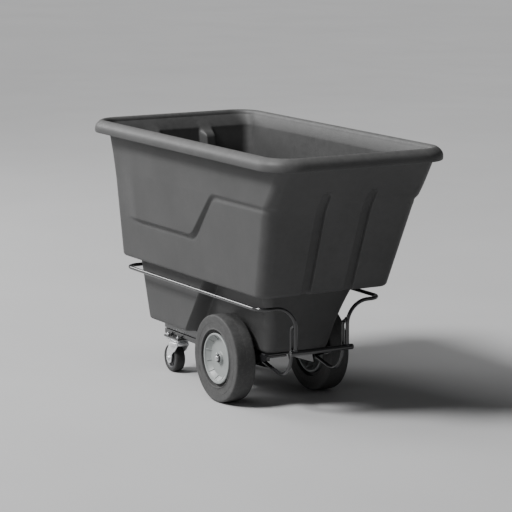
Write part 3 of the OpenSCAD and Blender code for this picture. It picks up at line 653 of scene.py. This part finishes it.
build("guard_rail_bar", [tube(rail_path(-1) + rail_path(1)[::-1], ROD)], PAINT, "chassis", ["guard_rail"], sharp=50)
bar = fillet([(0.01, -123), (BAR - 1.5, -123), (BAR, -121.5), (BAR, 121.5), (BAR - 1.5, 123), (0.01, 123)], 1.4, 4, closed=False)
build("front_crossbar", [lathe(bar, lambda u, v, w: (w, RAIL_F + u, BAR_Z + v), 48, loop=False)], PAINT, "chassis", ["crossbar"], sharp=50)
for s, side in ((-1, "left"), (1, "right")):
    build("skid_bar_" + side, [tube(loop_path(s), ROD - 0.02)], PAINT, "chassis", ["skid_loop_" + side], sharp=50)
    x = s * ROD_X
    beads = [
        # upright to crossbar: the saddle line where the two rounds meet
        bead([(x + ROD * 1.02 * math.cos(a), RAIL_F + ROD * 1.02 * math.sin(a), BAR_Z + math.sqrt(max(BAR ** 2 - (ROD * math.sin(a)) ** 2, 1)) + 0.4)
              for a in np.linspace(0, 2 * math.pi, 34)], 1.7, 1),
        # loop tip to upright
        bead([(x + ROD * 1.0 * math.cos(a), -396.6 + 3.0 * math.sin(a) * 0.6 + 1.2 * abs(math.cos(a)) * -1.0, 314.2 + ROD * 1.05 * math.sin(a))
              for a in np.linspace(0, 2 * math.pi, 30)], 1.6, 2),
        # loop to crossbar, on both flanks
        bead([(x + ROD * 0.75, -394.8 + 13 * t, BAR_Z + 6 - 1.5 * t) for t in (0.05, 0.35, 0.65, 0.95)], 1.5, 3),
        bead([(x - ROD * 0.75, -394.8 + 13 * t, BAR_Z + 6 - 1.5 * t) for t in (0.05, 0.35, 0.65, 0.95)], 1.5, 4),
        # tail to the axle bracket
        bead([(x - s * 5.4, y, 132.6 + (y + 284.4) * 0.2126 + 5.2) for y in np.linspace(-206, -178, 12)], 1.6, 5),
    ]
    build("bar_welds_" + side, beads, BEAD, "chassis", sharp=80)

# ---------------------------------------------------------------- chassis steel
for node in ("base_plate", "caster_crossmember", "rail_tabs", "side_rail_left", "side_rail_right", "axle_bracket_left", "axle_bracket_right"):
    from_node(node + "_steel", node, PAINT, "chassis", 0.8 if "rail_l" in node or "rail_r" in node else 0.6)
for s, side in ((-1, "left"), (1, "right")):
    # stitch welds between the top flange and the base plate, and round the axle
    stitches = []
    for i, y in enumerate(range(-230, 461, 98)):
        stitches.append(bead([(s * 118.4, y + t, 183.5) for t in np.linspace(0, 30, 14)], 1.8, 20 + i))
    stitches.append(bead(circle((s * 128.4, AXLE_Y, AXLE_Z), 17.0, (0, 1, 0), (0, 0, 1), 40), 1.3, 40))
    build("chassis_welds_" + side, stitches, BEAD, "chassis", sharp=80)

# ---------------------------------------------------------------- main wheels
TYRE_PROFILE = [(99.6, 24.5), (99.8, 36.0), (101.0, 38.1), (102.6, 38.1), (104.2, 36.4), (110, 35.9), (124, 36.3), (138, 37.3), (147.0, 37.6), (150.6, 35.6),
                (151.9, 31), (152.3, 20), (152.4, 0.9), (152.1, 0.35), (152.1, -0.35), (152.4, -0.9), (152.3, -20), (151.9, -31), (150.6, -35.6),
                (147.0, -37.6), (138, -37.3), (124, -36.3), (110, -35.9), (104.2, -36.4), (102.6, -38.1), (101.0, -38.1), (99.8, -36.0), (99.6, -24.5),
                (88.6, -24.5), (84.3, -20), (84.3, 20), (88.6, 24.5)]


def turn_y(s, x0, yc, zc):
    """u, v across the axle and w outwards along it"""
    return lambda u, v, w: (x0 + s * w, yc + u, zc + v)


def wheel(s, side):
    place = turn_y(s, s * WHEEL_X, AXLE_Y, AXLE_Z)
    body = "wheel_" + side
    parts = [lathe(fillet(TYRE_PROFILE, 2.0, 3), place, 160)]
    # a fine raised moulding line on the sidewall, and the vent pips left by the mould
    for z in (-1, 1):
        parts.append(lathe([(124.6, z * 36.0), (125.2, z * 36.95), (126.4, z * 36.95), (127.0, z * 36.0)], place, 128))
        for i in range(18):
            a = math.radians(i * 20 + 7)
            cu, cv = 114.0 * math.cos(a), 114.0 * math.sin(a)
            parts.append(lathe([(0.05, z * 36.9), (0.7, z * 36.8), (1.0, z * 36.2), (1.0, z * 35.0), (0.05, z * 35.0)],
                               lambda u, v, w, cu=cu, cv=cv: place(cu + u, cv + v, w), 10, loop=False))
    build("tyre_moulded_" + side, parts, TYRE, body, ["tyre_" + side], sharp=50)
    prof = [(14, -51), (20, -52), (21, -51), (21, 7), (24, 10), (66, 10), (77.5, -26), (80, -33.1), (81.5, -35.6), (86.3, -36.1), (88.3, -34.1),
            (88.3, -30.1), (84.4, -20), (84.4, 20), (88.3, 30.1), (88.3, 34.1), (86.3, 36.1), (81.5, 35.6), (80.5, 33.1), (78, 29), (67, 17), (65, 16),
            (23, 16), (20, 18), (18, 24.5), (17, 25.5), (14, 24.5)]
    parts = [lathe(fillet(prof, 1.6, 3), place, 144)]
    for i in range(12):
        a = math.radians(i * 30 + 15)
        ca, sa = math.cos(a), math.sin(a)
        spin = lambda u, v, w, ca=ca, sa=sa: place(u * ca - w * sa, u * sa + w * ca, v)
        parts.append(prism([(60, 14.5), (74, 14.5), (83, 30.5), (81.6, 32.0), (78.2, 31.6), (71, 24.5), (64.5, 17.6), (60, 15.7)], -1.6, 1.6, spin))
        parts.append(prism([(19, 11.5), (70, 11.5), (82.6, -30), (80, -31.6), (76.5, -31.4), (60, -22), (36, -15.4), (19, -15.4)], -1.6, 1.6, spin))
    build("wheel_centre_moulded_" + side, parts, WHEEL, body, ["wheel_centre_" + side], bevel=0.5, segments=2, sharp=50)
    # roller bearing faces: a plain turned shell at each end, in axle steel
    rollers = [lathe(fillet([(9.56, w0), (13.9, w0), (13.9, w1), (9.56, w1)], 0.5, 2), place, 48) for w0, w1 in ((-52, -28), (1.5, 25.5))]
    build("bearing_shells_" + side, rollers, AXLE, body, ["wheel_bearings_" + side], sharp=40)


wheel(-1, "left")
wheel(1, "right")

# axle, spacers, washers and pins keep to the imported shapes, with turned ends and eased edges
axle = fillet([(0.01, -221), (8, -221), (9.5, -219.5), (9.5, 219.5), (8, 221), (0.01, 221)], 1.2, 3, closed=False)
build("axle_bar", [lathe(axle, lambda u, v, w: (w, AXLE_Y + u, AXLE_Z + v), 64, loop=False)], AXLE, "chassis", ["axle"], sharp=50)
spacers, washers, pins = [], [], []
for s in (-1, 1):
    turn = lambda u, v, w, s=s: (s * w, AXLE_Y + u, AXLE_Z + v)
    spacers.append(lathe(fillet([(9.52, 128), (16, 128), (16, 133.6), (9.52, 133.6)], 0.7, 3), turn, 56))
    washers.append(lathe(fillet([(9.52, 211.9), (13.5, 211.9), (13.5, 214.5), (9.52, 214.5)], 0.8, 3), turn, 56))
    x = s * 216.8
    # split pin: loop above, two legs spread apart below
    eye = circle((x, AXLE_Y, AXLE_Z + 16.4), 3.3, (1, 0, 0), (0, 0, 1), 26, -68, 248)
    leg_a = [(x + 0.95, AXLE_Y, AXLE_Z + z) for z in (12.4, 6, 0, -6, -10)] + [(x + 1.3, AXLE_Y + 1.2, AXLE_Z - 13), (x + 1.9, AXLE_Y + 3.2, AXLE_Z - 15.4)]
    leg_b = [(x - 0.95, AXLE_Y, AXLE_Z + z) for z in (12.4, 6, 0, -6, -10)] + [(x - 1.3, AXLE_Y - 1.2, AXLE_Z - 13), (x - 1.9, AXLE_Y - 3.2, AXLE_Z - 15.4)]
    pins += [tube(leg_b[::-1] + eye[::-1] + leg_a, 0.95, 12)]
build("axle_spacer_rings", spacers, ZINC, "chassis", ["axle_spacers"], sharp=50)
build("axle_washer_rings", washers, DARK, "chassis", ["axle_washers"], sharp=50)
build("split_pins", pins, ZINC, "chassis", ["cotter_pins"], sharp=70)

# ---------------------------------------------------------------- casters
def caster(s, side):
    cx = s * CAST_X
    at = lambda u, v, w: (cx + u, CAST_Y + v, w)
    across = lambda u, v, w: (cx + s * w, CAST_Y + TRAIL + u, CAST_R + v)
    # fork: pressed crown with a rolled skirt, waisted flat legs, bolt bosses
    cup = [(5.6, 114.5), (29, 114.5), (32, 112.6), (33, 110), (33, 104.5), (36, 104.5), (36, 111.5), (34.8, 115.4), (31, 117.4), (27, 117.5), (5.6, 117.5)]
    parts = [lathe(fillet(cup, 1.1, 4), at, 96)]
    foot = [(TRAIL + 18 * math.cos(math.radians(a)), CAST_R + 18 * math.sin(math.radians(a))) for a in range(200, 392, 8)]
    leg = [(-26.5, 115.5), (-32, 110), (-33, 104.5), (-25, 96.5), (-14, 84.5), (2, 74.5), (10, 66.5)] + foot + \
          [(TRAIL + 16.2, CAST_R + 16), (TRAIL + 13.6, CAST_R + 28), (32.4, 96), (31.5, 104), (27, 115.5)]
    for m in (-1, 1):
        x = m * 24.5
        side_place = lambda u, v, w, m=m: (cx + m * w, CAST_Y + u, v)
        parts.append(prism(leg, 21.5, 24.5, side_place))
        boss = lambda u, v, w, m=m: (cx + m * w, CAST_Y + TRAIL + u, CAST_R + v)
        parts.append(lathe(fillet([(4.25, 24.2), (10.5, 24.2), (10.2, 24.9), (9.2, 25.0), (4.25, 25.0)], 0.3, 2), boss, 40))
    build("caster_fork_pressed_" + side, parts, FORK, "caster_" + side, ["caster_fork_" + side], bevel=0.6, segments=3, sharp=55)
    # wheel: moulded hub with a dished face and a band of soft rubber
    core = [(6.56, -20), (12, -20), (13, -15.5), (30.5, -13), (33.5, -17.5), (39.8, -17.5), (39.8, 17.5), (33.5, 17.5), (30.5, 13), (13, 15.5), (12, 20), (6.56, 20)]
    parts = [lathe(fillet(core, 1.4, 4), across, 96)]
    for i in range(8):
        a = math.radians(i * 45 + 10)
        ca, sa = math.cos(a), math.sin(a)
        for z in (-1, 1):
            spin = lambda u, v, w, ca=ca, sa=sa: across(u * ca - w * sa, u * sa + w * ca, v)
            parts.append(prism([(12.2, z * 13), (31.8, z * 12.4), (31.4, z * 15.4), (13, z * 17.2)], -1.1, 1.1, spin))
    build("caster_hub_moulded_" + side, parts, CORE, "caster_wheel_" + side, ["caster_core_" + side], bevel=0.4, sharp=55)
    band = [(39.75, -17.5), (43.8, -18.5), (46.8, -18.2), (49.4, -15.6), (50.5, -11), (50.8, -5), (50.8, 5), (50.5, 11), (49.4, 15.6), (46.8, 18.2), (43.8, 18.5), (39.75, 17.5)]
    build("caster_band_" + side, [lathe(fillet(band, 1.6, 4), across, 128)], TREAD, "caster_wheel_" + side, ["caster_tread_" + side], sharp=55)
    for node, mat, slot_name, b in (("caster_plate_", ZINC, "zinc", 0.5), ("caster_bolts_", ZINC, "zinc", 0.5), ("caster_nuts_", ZINC, "zinc", 0.5)):
        from_node(node + "eased_" + side, node + side, mat, "chassis", b)
    for node, mat, slot_name, b in (("caster_axle_", ZINC, "zinc", 0.6), ("caster_axle_nut_", ZINC, "zinc", 0.5)):
        from_node(node + "eased_" + side, node + side, mat, "caster_" + side, b)


caster(-1, "left")
caster(1, "right")
for node in ("hopper_nuts", "hopper_bolts", "hopper_washers", "rail_tab_bolts"):
    from_node(node + "_eased", node, ZINC, "chassis", 0.4)

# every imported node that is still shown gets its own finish
FINISH = {"caster_kingpin": ZINC, "caster_balls": BALLS, "caster_bush": AXLE}
for name, ob in NODES.items():
    if ob.hide_render:
        continue
    mat = next((m for key, m in FINISH.items() if name.startswith(key)), ZINC)
    ob.data.materials.clear()
    ob.data.materials.append(mat)
    for p in ob.data.polygons:
        p.material_index = 0

# ---------------------------------------------------------------- studio
def floor_material():
    n = Net("studio_floor")
    soft = n.noise(0.8, 3, 0.5)
    base = n.mix(n.ramp(soft, 0.3, 0.7), rgb(0.46, 0.46, 0.463), rgb(0.48, 0.48, 0.483))
    return n.finish(base, n.ramp(n.noise(3, 4, 0.5), 0.3, 0.7, 0.62, 0.72), n.bump(n.noise(60, 3, 0.5), 0.02, 0.001), specular=0.25)


me = bpy.data.meshes.new("studio_floor")
bm = bmesh.new()
bmesh.ops.create_circle(bm, cap_ends=True, radius=150.0, segments=96)
bm.to_mesh(me)
bm.free()
me.materials.append(floor_material())
floor = bpy.data.objects.new("studio_floor", me)
floor.location.z = -0.0005
bpy.context.scene.collection.objects.link(floor)

world = bpy.data.worlds.new("studio")
world.use_nodes = True
world.node_tree.nodes["Background"].inputs[0].default_value = (0.78, 0.79, 0.8, 1)
world.node_tree.nodes["Background"].inputs[1].default_value = 0.11
bpy.context.scene.world = world


def softbox(name, at, aim, w, h, watts, tint=(1, 1, 1)):
    data = bpy.data.lights.new(name, "AREA")
    data.shape = "RECTANGLE"
    data.size, data.size_y = w, h
    data.energy = watts
    data.color = tint
    ob = bpy.data.objects.new(name, data)
    ob.location = at
    ob.rotation_euler = (Vector(aim) - Vector(at)).to_track_quat("-Z", "Y").to_euler()
    bpy.context.scene.collection.objects.link(ob)
    return ob


sun = bpy.data.lights.new("key", "SUN")
sun.energy = 4.3
sun.angle = math.radians(16)
sun_ob = bpy.data.objects.new("key", sun)
sun_ob.rotation_euler = Vector((0.66, -0.10, -0.74)).to_track_quat("-Z", "Y").to_euler()
bpy.context.scene.collection.objects.link(sun_ob)
softbox("overhead", (-1.6, 0.2, 3.6), (-0.2, 0, 0.5), 1.0, 3.2, 50)
softbox("graze", (-3.4, -1.5, 1.3), (0, -0.5, 0.55), 0.8, 0.8, 9)
softbox("behind", (-2.6, 5.2, 3.1), (0, 0, 0.6), 3.4, 2.2, 230)

cam = bpy.data.cameras.new("view")
cam.lens = 170.05
cam.sensor_width = 36.0
cam.clip_start, cam.clip_end = 0.1, 400.0
cam_ob = bpy.data.objects.new("view", cam)
cam_ob.location = (-4.155, -7.175, 1.931)
cam_ob.rotation_euler = Vector((0.4917, 0.8535, -0.1724)).to_track_quat("-Z", "Y").to_euler()
bpy.context.scene.collection.objects.link(cam_ob)
bpy.context.scene.camera = cam_ob
